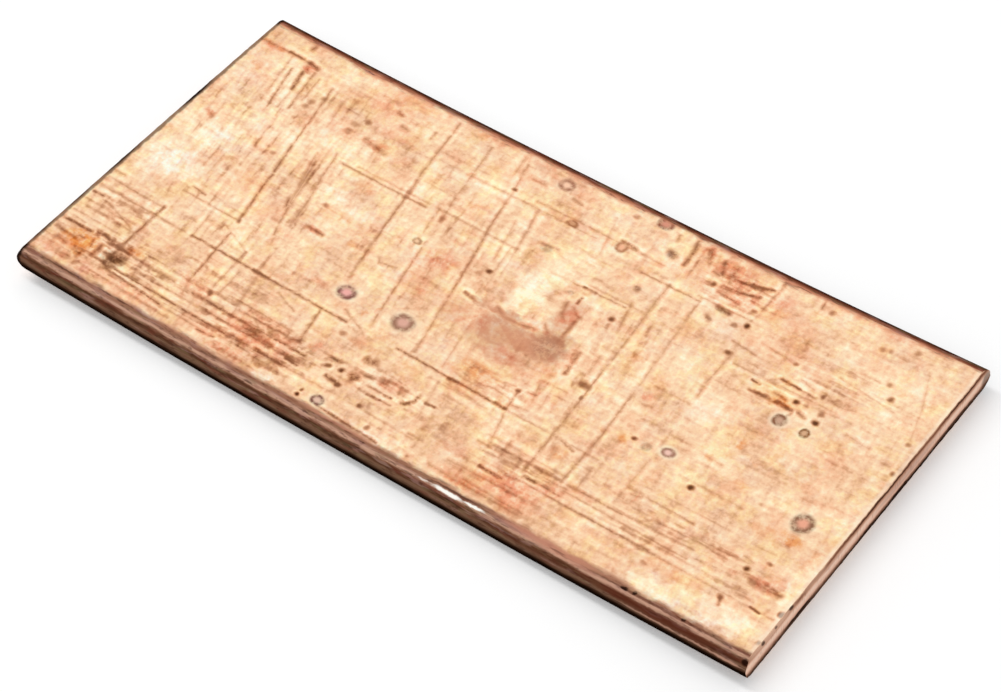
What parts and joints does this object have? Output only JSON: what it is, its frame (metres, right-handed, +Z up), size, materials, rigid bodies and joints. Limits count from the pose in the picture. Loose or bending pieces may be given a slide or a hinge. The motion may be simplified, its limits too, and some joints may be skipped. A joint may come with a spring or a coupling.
{
  "type": "copper sheet",
  "caption": "Rectangular sheet of solid copper stock with rolled round long edges and sheared ends, lying flat with a slight bow.",
  "frame": {"origin": "centre of the sheet's footprint, on the surface that it rests on", "axes": "+X along the length, towards the end that was cut with the blade above; +Y across the width; +Z up, through the thickness"},
  "size_m": [0.1019, 0.05, 0.0038],
  "materials": {
    "copper": null
  },
  "bodies": {
    "root": {"copper_sheet": "copper"}
  },
  "joints": []
}
